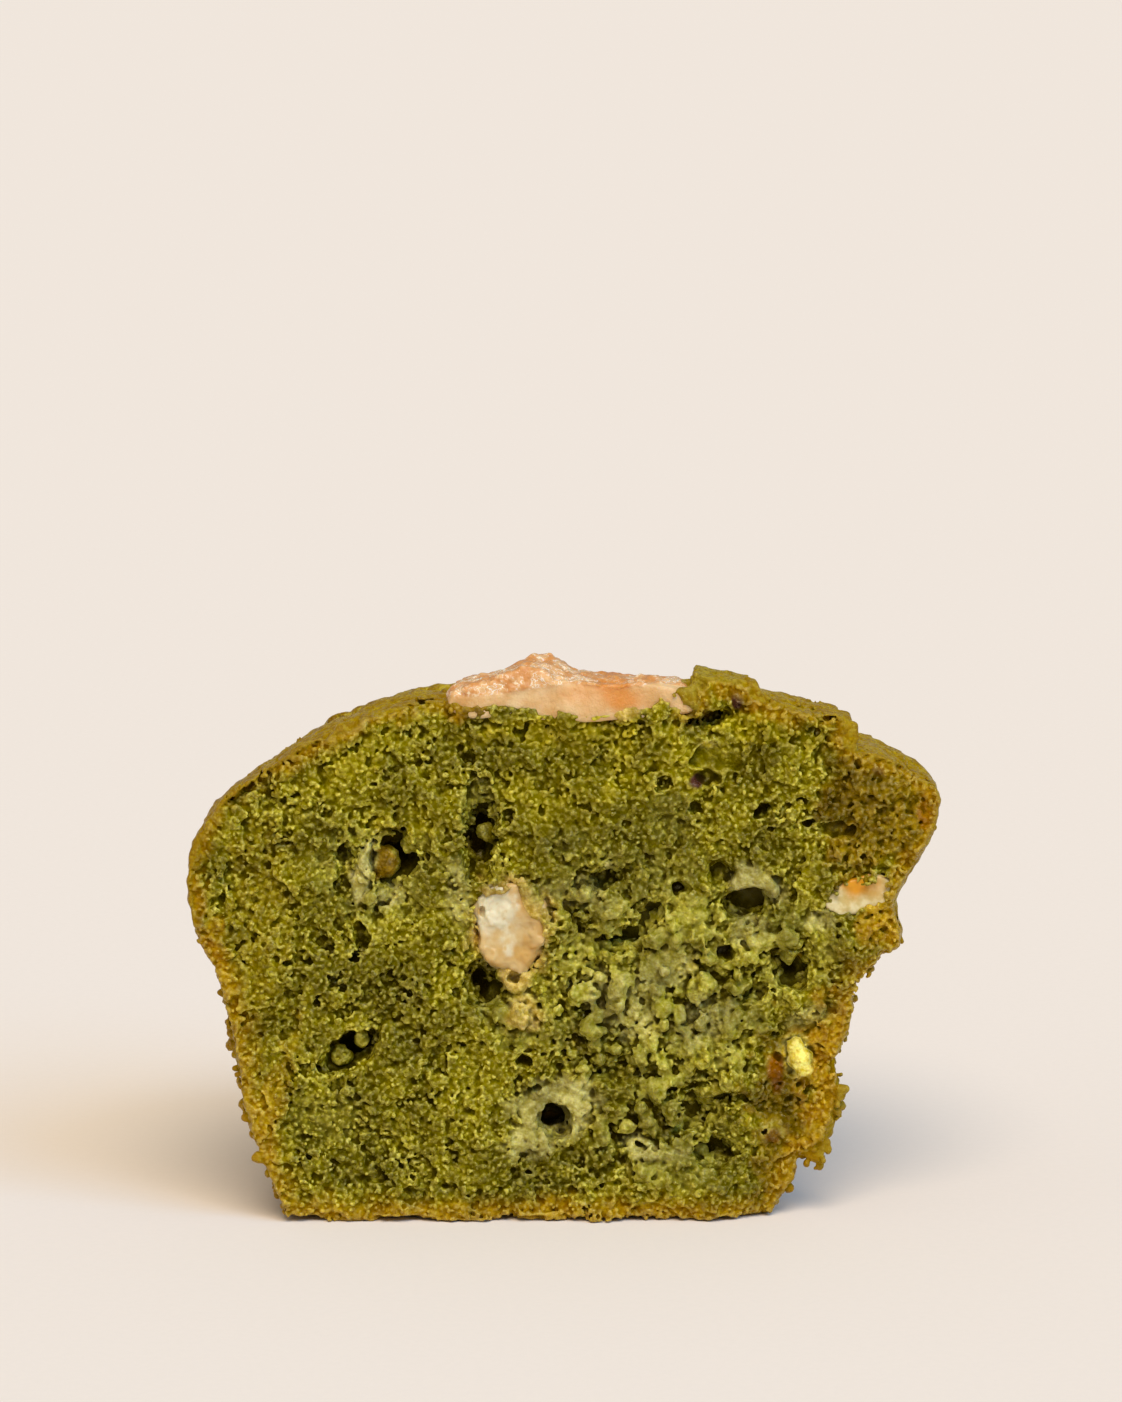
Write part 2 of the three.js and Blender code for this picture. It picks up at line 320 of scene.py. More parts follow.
COARSE = [
    (11.5, 22.5, 11.5, 10.5, -30, 1), (-2.5, 21, 3.6, 3.4, 0, 0.8), (20.5, 29, 7, 6, 0, 0.9),
    (7, 33.5, 8, 4.5, 10, 0.6), (12, 8.5, 7, 4.5, 0, 0.7), (-16.5, 35.5, 5.5, 4.5, 0, 0.55),
]
PALE = [
    (-18, 35.3, 0.95, 3.1, -14, 1), (-15.8, 32.9, 1.7, 1.1, 20, 0.5),
    (0.9, 11.3, 4.4, 3, 10, 0.85), (-1.6, 8.3, 2.4, 1.8, 0, 0.8), (21, 34.4, 2.5, 1.7, -10, 1),
    (27.4, 30.6, 1.5, 1, 20, 0.6), (12, 25.2, 3, 1.8, 20, 0.55), (7.5, 22, 4.2, 2.6, -35, 0.5),
    (15.5, 20.5, 3.2, 2.6, 30, 0.45), (20.3, 29.6, 1.9, 1.5, 0, 0.5),
    (9.6, 7.5, 2.1, 1.1, -12, 0.8), (13.4, 7, 1.6, 0.9, 20, 0.5), (-19, 50.3, 1.4, 0.6, 22, 1),
    (6.3, 36.3, 0.6, 0.6, 0, 1), (11.9, 25.4, 0.6, 0.6, 0, 1), (26.4, 20.8, 2.8, 1.2, 15, 0.4),
    (4, 33, 3.2, 1.6, -20, 0.35), (-8.6, 33, 1.2, 3, 0, 0.45),
]
WHITE = [(-4.9, 31.8, 2, 2.8, -15, 1), (-3.6, 28.2, 0.8, 1.6, 10, 0.5)]
SLIT = [(-6.2, 31.6, 0.25, 0.5, 0, 1)]
COVERED = [
    (-0.1, 33.2, 2.3, 2.2, 0, 1), (0.6, 25.9, 1.7, 1.7, 0, 1), (-7, 25.8, 1.7, 2.2, 0, 1),
    (14.4, 53.6, 2.6, 1.6, 33, 1), (12, 52, 2.8, 1.4, 30, 1), (-9.2, 51.6, 2.4, 1.4, 0, 1),
    (-6.4, 51.4, 2.6, 1.5, 8, 1), (-2, 51.2, 4.6, 1.4, 0, 1), (3.6, 51.2, 3.4, 1.1, 0, 1),
    (8.6, 51.6, 2.4, 1.2, 10, 1), (11.6, 51.8, 2.6, 1.6, 20, 1),
]
ORANGE = [
    (7, 53.4, 2.6, 1.5, -20, 1), (3.4, 53.6, 2, 1, 0, 0.5), (30.6, 34.7, 2.4, 1.7, -30, 1),
]
PEACH = [
    (7.3, 51.9, 1.8, 1.2, 0, 0.8), (-3.3, 30, 4, 4.6, 0, 0.9), (-3, 25, 1.5, 2, 0, 0.9),
    (-2.3, 21.2, 1.9, 2.2, 0, 0.7),
]
GREY = [
    (-6.6, 41.6, 1.6, 3, 0, 0.5), (-21, 11, 4, 2.6, 0, 0.35), (2, 38.6, 2.2, 1.2, 20, 0.5),
    (12.4, 41.4, 2.2, 2.6, 0, 0.5),
]
YELLOW = [
    (2, 50, 8, 2, 0, 0.9), (14.8, 54.4, 3.8, 2.9, -10, 1), (22, 50, 7, 1.6, -14, 0.9),
    (12, 46, 9, 3, -10, 0.4), (1.5, 43.5, 5, 3.4, 0, 0.5), (-19, 46.5, 6, 2, 30, 0.5),
    (-14.2, 41, 3.5, 2.5, 0, 0.35), (29, 14, 3.6, 10, 8, 0.6),
]
GOLD = [
    (-7.8, 52, 2, 1.2, 0, 1), (-15.9, 36.2, 1.7, 1.7, 0, 1), (33.5, 42.5, 6.5, 7.5, 0, 0.8),
    (24, 9, 3.4, 9.5, 6, 0.75), (31, 20, 2, 8, 8, 0.5), (-29, 30, 3, 14, -4, 0.25),
    (0, 0.5, 30, 1.5, 0, 0.55),
]
STRAW = [
    (25.4, 16.5, 1.7, 2.1, 10, 1), (16, 48.3, 0.9, 0.4, 0, 0.8), (23, 9, 1.4, 0.8, -30, 0.5),
]
AMBER = [
    (28.4, 15, 3.2, 8, 8, 0.8), (25.4, 6, 1.6, 3, 10, 0.7), (33, 30, 2.6, 2.4, 0, 0.7),
    (-27.4, 11, 1.4, 10, -14, 0.35), (-33, 27, 1.2, 4, 0, 0.5),
]
RUST = [
    (-35, 30.5, 1.3, 4.2, -6, 0.6), (-33.6, 27.4, 1.3, 1.8, 0, 0.9),
    (38.8, 43.6, 1, 1, 10, 0.9), (37.6, 41.4, 0.7, 1.4, 10, 0.7),
    (36.5, 35.2, 0.8, 1.5, 0, 0.9), (21.4, 54, 2.4, 0.9, -20, 0.5),
    (18, 53.4, 1.4, 0.8, -20, 0.5), (23, 15, 0.9, 1.9, 10, 1), (22.8, 8.3, 0.9, 1, 0, 0.8),
    (20, 52.6, 1.4, 1, -20, 0.6), (38.5, 43, 1.2, 2.6, 0, 0.6),
]
PURPLE = [
    (15, 44.6, 0.8, 0.7, 0, 1), (18.9, 52.6, 0.6, 0.9, 0, 1), (33, 45.9, 0.7, 0.6, 0, 0.9),
]

# Holes in the cut face: centre x and z, half width, half height, tilt in degrees, depth
HOLES = [
    (-19.9, 37.4, 1.3, 0.7, 30, 2.4), (-15, 36.8, 1.7, 2.2, 14, 2.6),
    (-14.4, 39.2, 0.7, 0.9, 0, 2.6), (-6.5, 41.3, 1.5, 2.6, 0, 1.2),
    (-6.4, 38, 1.2, 1.2, 0, 1.6), (-5.9, 35.6, 1.1, 1.2, 20, 2.8),
    (-18.4, 29.2, 0.6, 1.2, 10, 0.9), (-6.5, 24, 1.7, 1.7, 0, 2.4),
    (-19.6, 17.4, 3, 1.9, 24, 3.2), (0.8, 10.4, 2.1, 1.6, -8, 3.4),
    (-0.7, 13.6, 0.6, 0.4, 0, 1.6), (-2.3, 16.2, 0.8, 0.5, 0, 1.6), (6.3, 34.7, 1.2, 1, 0, 2),
    (8.6, 29.2, 2.1, 1, -14, 2.4), (10.6, 31.2, 1.4, 0.9, 10, 2.2),
    (15.8, 44.9, 0.9, 0.5, 0, 1.2), (15.6, 50.8, 2.3, 0.6, 20, 2.4),
    (16.6, 47.2, 1.9, 1, 0, 0.9), (21.6, 41.8, 0.8, 0.5, 20, 1.4),
    (25.9, 40.6, 0.7, 0.5, 0, 1.2), (29, 40, 1.8, 0.8, 0, 1), (17.2, 35.4, 1.1, 0.9, 0, 2.2),
    (20, 32.4, 2.2, 1.4, 20, 3.2), (13.4, 34.1, 0.7, 0.5, 0, 1.8),
    (17.6, 27.6, 1.2, 0.9, 0, 1.8), (21.2, 23.5, 1.2, 0.8, 0, 2.2),
    (24.5, 25.1, 1.8, 1.3, -15, 2.8), (6.5, 14.9, 1.7, 1.1, 0, 1.2),
    (15.6, 11.3, 2.2, 1.2, 12, 1.8), (17, 6.8, 2.1, 0.9, 0, 1.8), (10, 7.5, 0.9, 0.5, 0, 1.5),
    (26.6, 11.2, 1, 2.4, 10, 1.6), (23, 14.8, 0.8, 1.9, 8, 1.2),
]

# Balls in the holes, below the slab and in the pale tuft: x, y, z, radius
HOLE_BALLS = [
    (-8.5, -2.3, 51.8, 0.9), (-7.2, -2.4, 52, 1), (6.6, -2.3, 51.7, 0.9), (8, -2.3, 52.1, 0.9),
    (-15.9, -0.6, 36.2, 1.6), (25.4, -1.5, 16.4, 1.2), (25, -1.6, 17.6, 0.9),
    (26, -1.6, 15.4, 0.8), (-18.3, -1, 18.4, 0.9), (-20.4, -0.2, 16.6, 1.1),
    (-5.8, -1.1, 39.2, 1),
]
HOLE_BALL_MARGIN = 0.8


def tilted(across, up, wide, high, tilt):
    """Places round a tilted spot's centre, in its half widths and heights."""
    turn = math.radians(tilt)
    along = (across * math.cos(turn) + up * math.sin(turn)) / wide
    return along, (up * math.cos(turn) - across * math.sin(turn)) / high


def with_holes(grid, field):
    """Cuts the holes into a field, with rough walls, and sets their balls in them."""
    rough = 0.5 * grid.noise(1.3, 53) + 0.36 * grid.noise(0.6, 54) + 0.2 * grid.noise(0.33, 55)
    holes = np.full(tuple(grid.count), FAR, np.float32)
    for x, z, wide, high, tilt, depth in HOLES:
        reach = max(wide, high) + FAR
        columns = slice(*np.searchsorted(grid.axes[0], (x - reach, x + reach)))
        rows = slice(*np.searchsorted(grid.axes[2], (z - reach, z + reach)))
        across, up = grid.x[columns] - x, grid.z[:, :, rows] - z
        along, over = tilted(across, up, wide, high, tilt)
        deep = np.clip((grid.y - CUT_Y) / depth, 0, 2) ** 3
        shape = (np.sqrt(along * along + over * over + deep * deep) - 1) * min(wide, high, depth)
        part = holes[columns, :, rows]
        part[...] = np.minimum(part, shape + rough[columns, :, rows])
    field = np.maximum(field, -holes)
    for x, y, z, radius in HOLE_BALLS:
        gap = (grid.x - x) ** 2 + (grid.y - y) ** 2 + (grid.z - z) ** 2
        close = gap < (radius + HOLE_BALL_MARGIN) ** 2
        ball = np.sqrt(gap[close]) - radius + 0.5 * rough[close]
        field[close] = smooth_min(field[close], ball, np.float32(0.2))
    return field


def places(points, spots, ragged=0.35, seed=60, edge=(1.25, 0.7)):
    """How much of the spots each point takes, from 0 to 1, with ragged edges."""
    wobble = noise(points, 1.7, seed) + 0.6 * noise(points, 0.8, seed + 1)
    amount = np.zeros(len(points), np.float32)
    for x, z, wide, high, tilt, strength in spots:
        along, over = tilted(points[:, 0] - x, points[:, 2] - z, wide, high, tilt)
        distance = np.sqrt(along * along + over * over) + ragged * wobble
        amount = np.maximum(amount, strength * smoothstep(*edge, distance))
    return amount


def spread(grid, spots, ragged, seed):
    """How much of the spots each column along Y of a grid takes."""
    x, z = np.meshgrid(grid.axes[0], grid.axes[2], indexing="ij")
    points = np.stack([x.ravel(), np.full(x.size, CUT_Y, np.float32), z.ravel()], -1)
    return places(points, spots, ragged, seed).reshape(x.shape)[:, None, :]


# The sponge's field

SLAB_TOP = 52.8

# The chunks' slots: how far crumb bites into each, where behind the cut its section is read,
# its gap round the chunk, and how far covered places are drawn over it
SLOT_BITES = {"top_chunk": 0.8, "middle_chunk": 0.3, "side_chunk": 0.4}
SLOT_LEVEL = 1.4
SLOT_GAP = 0.35
SLOT_COVER = 1.8

# The edge of the coarse places: raggedness and seed
COARSE_EDGE = (0.3, 71)

SOLID = distance_field("sponge", WHOLE)
CHUNK_SOLIDS = {name: distance_field(name, WHOLE) for name in SLOT_BITES}
RIM_DISTANCE = outline_distance([SOLID] + list(CHUNK_SOLIDS.values()))


def front_share_of(rim, y, z):
    """1 in the crumb that the cut has opened, 0 in the skin all round it."""
    skin = 0.15 + 0.15 * smoothstep(LIP_FOLD, LIP_FOLD + 4, z)
    return smoothstep(skin - 0.2, skin + 0.2, rim) * smoothstep(6.2, 5.4, y - CUT_Y)


def front_share(points):
    return front_share_of(rim_distance_at(points), points[:, 1], points[:, 2])


def inner_share(points):
    """1 in the crumb of the cut, well inside its outline."""
    return front_share(points) * smoothstep(1.5, 3.0, rim_distance_at(points))


def coarse_share(points):
    return places(points, COARSE, *COARSE_EDGE)


def clump_share(points):
    """1 where the crumb of the cut hangs together in coarse clumps."""
    return front_share(points) * coarse_share(points)


def void_share(points):
    """How many of the small voids open up at each point."""
    return front_share(points) * (0.4 + 0.6 * coarse_share(points)) * (1 - places(points, PEACH))


def filled_slots():
    """The sponge's field with its chunks' slots drawn in at their ragged edges."""
    field = SOLID
    level = int(round((CUT_Y + SLOT_LEVEL - WHOLE.low[1]) / WHOLE.voxel))
    wander = np.clip(0.35 + 0.6 * WHOLE.noise(1.9, 51) + 0.4 * WHOLE.noise(0.8, 52), 0, 1)
    below_slab = smoothstep(SLAB_TOP - 0.6, SLAB_TOP - 1.6, WHOLE.z)
    for name, bite in SLOT_BITES.items():
        chunk = CHUNK_SOLIDS[name]
        opening = chunk.copy()
        opening[:, :level] = chunk[:, level : level + 1]
        opening += SLOT_COVER * spread(WHOLE, COVERED, 0.3, 65)
        ragged = 0.1 + bite * wander
        if name == "top_chunk":
            ragged = below_slab * ragged - 0.5 * (1 - below_slab)
        field = np.maximum(np.minimum(field, chunk - SLOT_GAP), -(opening + ragged))
    return field


def creases(grid, size, seed, width):
    """1 along thin winding sheets about `size` apart, 0 between them."""
    return smoothstep(width, 0.0, np.abs(grid.noise(size, seed)))


# How far the torn crumb rises, and how far it sinks below its clumps
CRUMB_RISE = 0.26
CLUMP_BED = 0.75


def torn_relief(grid, ragged, clumpy, melted):
    """Hollows and steps, and lumps parted by creases, fainter where melted."""
    torn = grid.noise(4.5, 1)
    torn *= 0.4
    torn += 0.3 * grid.noise(2.0, 2)
    torn += 0.4 * smoothstep(0.1, 0.3, grid.noise(2.6, 5) + ragged)
    fine = 0.24 * smoothstep(0.1, 0.24, grid.noise(1.15, 6) + 1.2 * ragged)
    fine += 0.55 * ragged
    fine += 0.1 * creases(grid, 0.55, 7, 0.42)
    fine += 0.09 * creases(grid, 0.36, 8, 0.5) * (1 - 0.6 * clumpy)
    torn += fine * (1 - 0.65 * melted) + 0.1 * melted
    return torn


def small_voids(grid, torn, ragged):
    """Many fine voids and a few wider ones."""
    voids = np.full(tuple(grid.count), FAR, np.float32)
    lay(grid, voids, torn, scatter(grid, 1.1, (0.2, 0.42), 0.14, 21), (-0.1, 0.4), void_share, 0.08)
    lay(grid, voids, torn, scatter(grid, 3.4, (0.5, 0.9), 0.3, 22), (0.0, 0.8), inner_share, 0.2)
    voids += 0.5 * ragged
    return voids


def clumps_and_grains(grid, base, torn, ragged):
    """Ragged clumps in the coarse places, and grains all over the cut."""
    grains = np.full(tuple(grid.count), FAR, np.float32)
    lay(grid, grains, base, scatter(grid, 1.45, (0.5, 1.2), 0.75, 23), (0.35, 1.5), clump_share, 0.2)
    grains += 1.25 * ragged - 0.1
    lay(grid, grains, torn, scatter(grid, 0.42, (0.14, 0.25), 0.6, 25), (-0.08, 0.14), front_share, 0.05)
    return grains


def crumb_field(grid, base):
    """The torn crumb with its voids, clumps and grains."""
    ragged = 0.26 * grid.noise(0.8, 3) + 0.22 * grid.noise(0.45, 4) + 0.2 * grid.noise(0.27, 9)
    clumpy = spread(grid, COARSE, *COARSE_EDGE)
    melted = smoothstep(0.5, 1.0, spread(grid, PALE + PEACH, 0.2, 60))
    torn = torn_relief(grid, ragged, clumpy, melted)
    torn += base - CRUMB_RISE + CLUMP_BED * clumpy * (1 - melted)
    torn = np.maximum(torn, -small_voids(grid, torn, ragged))
    grains = clumps_and_grains(grid, base, torn, ragged)
    torn = smooth_min(torn, grains + 0.5 * melted, np.float32(0.06))
    torn += 0.07 * (1 - 0.6 * melted) * grid.noise(0.34, 26)
    return torn


# The dome's cracks, the base's gaps, the gap to the floor, and the band's unused edge
CRACK_DEPTH = 0.75
BASE_GAP = 0.6
FLOOR_GAP = 0.02
BAND_EDGE = 0.25


def dome_share(points):
    """1 on the crust above the lip's fold, 0 elsewhere."""
    return (1 - front_share(points)) * smoothstep(LIP_FOLD - 1.5, LIP_FOLD + 1.5, points[:, 2])


def torn_share(points):
    """1 on the torn skin below the fold, 0 elsewhere."""
    return (1 - front_share(points)) * smoothstep(LIP_FOLD + 1.5, LIP_FOLD - 1.5, points[:, 2])


def crust_field(grid, base):
    """Wrinkles and grains, and on the dome a few cracks that widen and close."""
    crust = base - 0.2 * (1 - 2.2 * np.abs(grid.noise(3.6, 11))) - 0.16 * grid.noise(1.7, 12)
    crust -= 0.14 * grid.noise(0.85, 13) + 0.14 * grid.noise(0.5, 27)
    crack = np.abs(grid.noise(8.0, 14) + 0.3 * grid.noise(2.4, 15))
    width = 0.15 * np.clip(grid.noise(7.0, 34) + 0.2, 0.03, 1)
    crust += CRACK_DEPTH * smoothstep(width, 0.0, crack) * smoothstep(LIP_HEIGHT, SHOULDER, grid.z)
    lay(grid, crust, base, scatter(grid, 0.62, (0.22, 0.36), 0.5, 28), (0.04, 0.28), dome_share, 0.16)
    return crust


def side_field(grid, base):
    """Pits, and balls of two sizes."""
    side = base + 0.28 + 0.3 * grid.noise(2.4, 16) + 0.14 * grid.noise(0.9, 17)
    side += 0.4 * smoothstep(0.25, 0.4, grid.noise(2.0, 18) + 0.4 * grid.noise(0.8, 19))
    lay(grid, side, base, scatter(grid, 0.75, (0.26, 0.5), 0.75, 26), (-0.05, 0.5), torn_share, 0.16)
    lay(grid, side, base, scatter(grid, 1.6, (0.4, 0.75), 0.4, 29), (-0.15, 0.3), torn_share, 0.2)
    side += 0.12 * grid.noise(0.45, 30)
    return side


def skin_field(grid, base):
    """Crust above the lip's fold, torn skin below it."""
    share = smoothstep(LIP_FOLD - 1, LIP_FOLD + 1, grid.z)
    return share * crust_field(grid, base) + (1 - share) * side_field(grid, base)


def finished(grid, field, base):
    """The field with its finest relief, and with plain values away from the surface.

    It ends just above the floor, on a base that is level but for its ragged gaps.
    """
    field = field + 0.04 * grid.noise(0.55, 31)
    gaps = BASE_GAP * smoothstep(0.0, 0.5, grid.noise(1.7, 32) + 0.4 * grid.noise(0.7, 33))
    field = np.maximum(field, FLOOR_GAP + gaps - grid.z)
    field = np.where(np.abs(base) < BAND - BAND_EDGE, field, np.sign(base) * FAR)
    return np.clip(field, -FAR, FAR).astype(np.float32)


SPONGE_BASE = blur(filled_slots(), 2)
CRUMB_BASE = CRUMB.resample(SPONGE_BASE, WHOLE)


def build_crumb():
    """Torn crumb with its holes at the cut, and the skin round it."""
    front = front_share_of(rim_distance_on(CRUMB), CRUMB.y, CRUMB.z)
    field = front * with_holes(CRUMB, crumb_field(CRUMB, CRUMB_BASE))
    field += (1 - front) * skin_field(CRUMB, CRUMB_BASE)
    return finished(CRUMB, field, CRUMB_BASE)


CRUMB_SPONGE = build_crumb()
WHOLE_SPONGE = finished(WHOLE, skin_field(WHOLE, SPONGE_BASE), SPONGE_BASE)


# Meshes

# The fewest vertices of a part that isn't a loose scrap
SMALLEST_PART = 400


def connected_labels(count, quads):
    """One label for all the vertices that hang together."""
    label = np.arange(count)
    ends = np.concatenate([quads[:, [0, 1]], quads[:, [1, 2]], quads[:, [2, 3]]])
    while True:
        lowest = np.minimum(label[ends[:, 0]], label[ends[:, 1]])
        before = label.copy()
        np.minimum.at(label, ends[:, 0], lowest)
        np.minimum.at(label, ends[:, 1], lowest)
        label = label[label]
        label = label[label]
        if np.array_equal(before, label):
            return label


def without_scraps(points, quads):
    """Drops loose scraps, and vertices that no face uses."""
    label = connected_labels(len(points), quads)
    sizes = np.bincount(label, minlength=len(points))
    quads = quads[sizes[label[quads[:, 0]]] >= SMALLEST_PART]
    used, compact = np.unique(quads, return_inverse=True)
    return points[used], compact.reshape(-1, 4)


def surface(grid, field):
    """The vertices in millimetres and the quads of a field's zero surface."""
    cells = openvdb.FloatGrid(FAR)
    cells.copyFromArray(np.clip(field, -FAR, FAR).astype(np.float32))
    points, quads = cells.convertToQuads(isovalue=0.0)
    return without_scraps(points * np.float32(grid.voxel) + grid.low, quads)


def mesh_object(name, grid, field, most_triangles):
    """An object with a field's surface, thinned to at most so many triangles."""
    points, quads = surface(grid, field)
    mesh = bpy.data.meshes.new(name)
    mesh.vertices.add(len(points))
    mesh.vertices.foreach_set("co", (points * MM).astype(np.float32).ravel())
    mesh.loops.add(quads.size)
    mesh.loops.foreach_set("vertex_index", quads[:, ::-1].astype(np.int32).ravel())
    mesh.polygons.add(len(quads))
    mesh.polygons.foreach_set("loop_start", np.arange(0, quads.size, 4, dtype=np.int32))
    mesh.update(calc_edges=True)
    mesh.validate()
    piece = bpy.data.objects.new(name, mesh)
    bpy.context.scene.collection.objects.link(piece)
    if 2 * len(quads) > most_triangles:
        thin = piece.modifiers.new("thin", "DECIMATE")
        thin.ratio = most_triangles / (2 * len(quads))
        bpy.context.view_layer.update()
        seen = piece.evaluated_get(bpy.context.evaluated_depsgraph_get())
        piece.data = bpy.data.meshes.new_from_object(seen)
        piece.data.name = name
        piece.modifiers.clear()
        bpy.data.meshes.remove(mesh)
    piece.data.polygons.foreach_set("use_smooth", np.ones(len(piece.data.polygons), bool))
    return piece


def store(piece, name, values):
    """Keeps one number for each vertex, for the material to read."""
    layer = piece.data.attributes.new(name, "FLOAT", "POINT")
    layer.data.foreach_set("value", values.astype(np.float32))


# Pieces of the sponge

CRUMB_TRIANGLES = 184000
BODY_TRIANGLES = 80000


def beyond(field, distance):
    """Shrinks a piece where it runs on under its neighbour, and ends it there.

    `distance` is how far each cell lies past the shared border, in millimetres.
    """
    tucked = field + TUCK * smoothstep(0.0, 0.3, distance)
    return np.maximum(tucked, distance - OVERLAP)


def crumb_end(grid):
    """How far each cell lies behind the crumb layer."""
    return grid.y - CUT_Y - CRUMB_DEPTH - 0.35 * np.sin(grid.x / 2.3) - 0.3 * np.sin(grid.z / 1.9)


def split(grid, place, turn):
    """How far each cell lies to the right of a border that wanders as it climbs."""
    wander = 1.3 * np.sin(grid.z / 2.9 + turn) + 0.8 * np.sin(grid.z / 1.3 + 2 * turn)
    return grid.x - place - wander


def add_sponge_piece(name, grid, field, most):
    """A piece of the sponge with that field's surface."""
    piece = mesh_object(name, grid, field, most)
    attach(piece, "root")
    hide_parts("sponge")
    return piece


def crumb_pieces():
    """The crumb layer, divided from left to right, each part tucked under the one before."""
    layer = np.maximum(CRUMB_SPONGE, crumb_end(CRUMB))
    pieces = []
    past = None
    for number, place in enumerate(CRUMB_SPLITS + (None,)):
        field = layer if past is None else beyond(layer, -past)
        if place is not None:
            past = split(CRUMB, place, 1.0 + 1.5 * number)
            field = np.maximum(field, past)
        pieces.append(add_sponge_piece(f"crumb_{number + 1}", CRUMB, field, CRUMB_TRIANGLES))
    return pieces


def body_pieces():
    """The dome's crust and the torn side, behind the crumb layer."""
    over_fold = WHOLE.z - LIP_FOLD - 0.4 * np.sin(WHOLE.x / 1.7) - 0.4 * np.sin(WHOLE.y / 1.5)
    body = beyond(WHOLE_SPONGE, -crumb_end(WHOLE))
    top = np.maximum(body, -over_fold)
    return [
        add_sponge_piece("crust_top", WHOLE, top, BODY_TRIANGLES),
        add_sponge_piece("torn_side", WHOLE, beyond(body, over_fold), BODY_TRIANGLES),
    ]


SPONGE_PIECES = crumb_pieces() + body_pieces()


# The chunks of white chocolate

# The grid's cell, its reach round a chunk, and how far from the surface there is relief
CHUNK_VOXEL = 0.16
CHUNK_MARGIN = 1.6
CHUNK_BAND = 1.4


def build_chunk(name, node, grow, relief, most, reach=0.0):
    """A chunk's surface: its solid, rounded, grown by a little and given relief(points).

    If there is a `reach`, the section so far behind the cut is drawn out to the cut.
    """
    low, high = (np.array(corner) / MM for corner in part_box(node))
    grid = Grid(low - CHUNK_MARGIN, high + CHUNK_MARGIN, CHUNK_VOXEL)
    base = distance_field(node, grid)
    if reach:
        level = int(round((CUT_Y + reach - grid.low[1]) / CHUNK_VOXEL))
        base[:, :level] = base[:, level : level + 1]
        base = np.maximum(base, CUT_Y - grid.y)
    base = blur(base, 3)
    band = np.abs(base) < CHUNK_BAND
    points = (np.argwhere(band) * np.float32(CHUNK_VOXEL) + grid.low).astype(np.float32)
    field = np.where(base > 0, np.float32(FAR), np.float32(-FAR))
    field[band] = base[band] - grow - relief(points)
    piece = mesh_object(name, grid, field, most)
    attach(piece, "root")
    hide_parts(node)
    return piece


def slab_top_share(points):
    """1 on the toasted top of the slab, 0 on its cut side."""
    behind = points[:, 1] - CUT_Y
    line = SLAB_TOP + 0.5 + 0.1 * np.clip(points[:, 0] + 8, 0, 10) + 0.3 * noise(points, 3.0, 30)
    line = line - 2.5 * smoothstep(0.2, 1.6, behind)
    return smoothstep(line - 0.2, line + 0.2, points[:, 2])


def slab_peak(points):
    """A fold that climbs to the right and drops at its end."""
    x, y = points[:, 0], points[:, 1]
    climb = smoothstep(-7.0, -1.7, x) * smoothstep(-0.3, -1.5, x)
    return climb * smoothstep(-2.0, 0.5, y) * smoothstep(5.5, 3.0, y)


def slab_relief(points):
    """A blistered top with folds, over a smoother cut side."""
    top = slab_top_share(points)
    blisters = 0.16 * noise(points, 1.0, 31) + 0.13 * noise(points, 0.5, 32)
    folds = 0.2 * (1 - 2.4 * np.abs(noise(points, 3.4, 33))) + 0.15 * slab_peak(points)
    pits = -0.25 * smoothstep(0.45, 0.75, noise(points, 0.8, 34))
    cut = 0.12 * noise(points, 2.2, 35) + 0.06 * noise(points, 0.8, 36)
    return top * (blisters + folds + pits) + (1 - top) * cut


def side_relief(points):
    """Low soft lumps."""
    return 0.2 * noise(points, 1.8, 37) + 0.1 * noise(points, 0.7, 38) - 0.15


def core_relief(points):
    """Soft lumps, with sharper ones where the chunk comes through the crumb."""
    soft = 0.28 * noise(points, 1.7, 37) + 0.14 * noise(points, 0.75, 38)
    lumps = 0.12 * smoothstep(0.0, 0.3, noise(points, 1.1, 42)) * smoothstep(1.5, 0.0, points[:, 1])
    return soft + lumps + 0.12 * noise(points, 0.4, 39) - 0.7 * places(points, SLIT, 0.2, 66)


SLAB = build_chunk("toasted_slab", "top_chunk", 0.16, slab_relief, 48000)
MIDDLE = build_chunk("white_core", "middle_chunk", 0.1, core_relief, 22000)
SIDE = build_chunk("white_side", "side_chunk", 0.15, side_relief, 14000, 1.6)


# What each vertex tells its material

# Tints of the sponge: places, raggedness, seed, and whether in the cut alone
TINTS = {
    "pale": (PALE, 0.35, 60, True),
    "peach": (PEACH, 0.3, 62, True),
    "coarse": (COARSE, *COARSE_EDGE, True),
    "grey": (GREY, 0.35, 60, True),
    "yellow": (YELLOW, 0.5, 60, False),
    "gold": (GOLD, 0.5, 60, False),
    "amber": (AMBER, 0.5, 60, False),
    "straw": (STRAW, 0.4, 60, True),
    "rust": (RUST, 0.35, 60, True),
    "purple": (PURPLE, 0.25, 60, True),
}

# How often a grid's filling is blurred, for near hollows and then for wide pockets
NEAR_BLUR = 2
CRUMB_WIDE_BLUR = 18
WHOLE_WIDE_BLUR = 8


def filling(grid, field, wide_blur):
    """How much sponge is near each cell, and how much is widely round it."""
    near = blur(np.clip(0.5 - field / np.float32(grid.voxel), 0, 1), NEAR_BLUR)
    return near, blur(near, wide_blur)


def tell_hollows(piece, points, grid, near, wide):
    """How hollow the place of each vertex is: 0 on a raised point, 1 deep in a hollow. The material
    paints shade in the hollows and highlight on the raised points from it.
    """
    for name, field in (("hollow", near), ("pocket", wide)):
        store(piece, name, np.clip(0.5 + 2.2 * (grid.at(field, points) - 0.5), 0, 1))


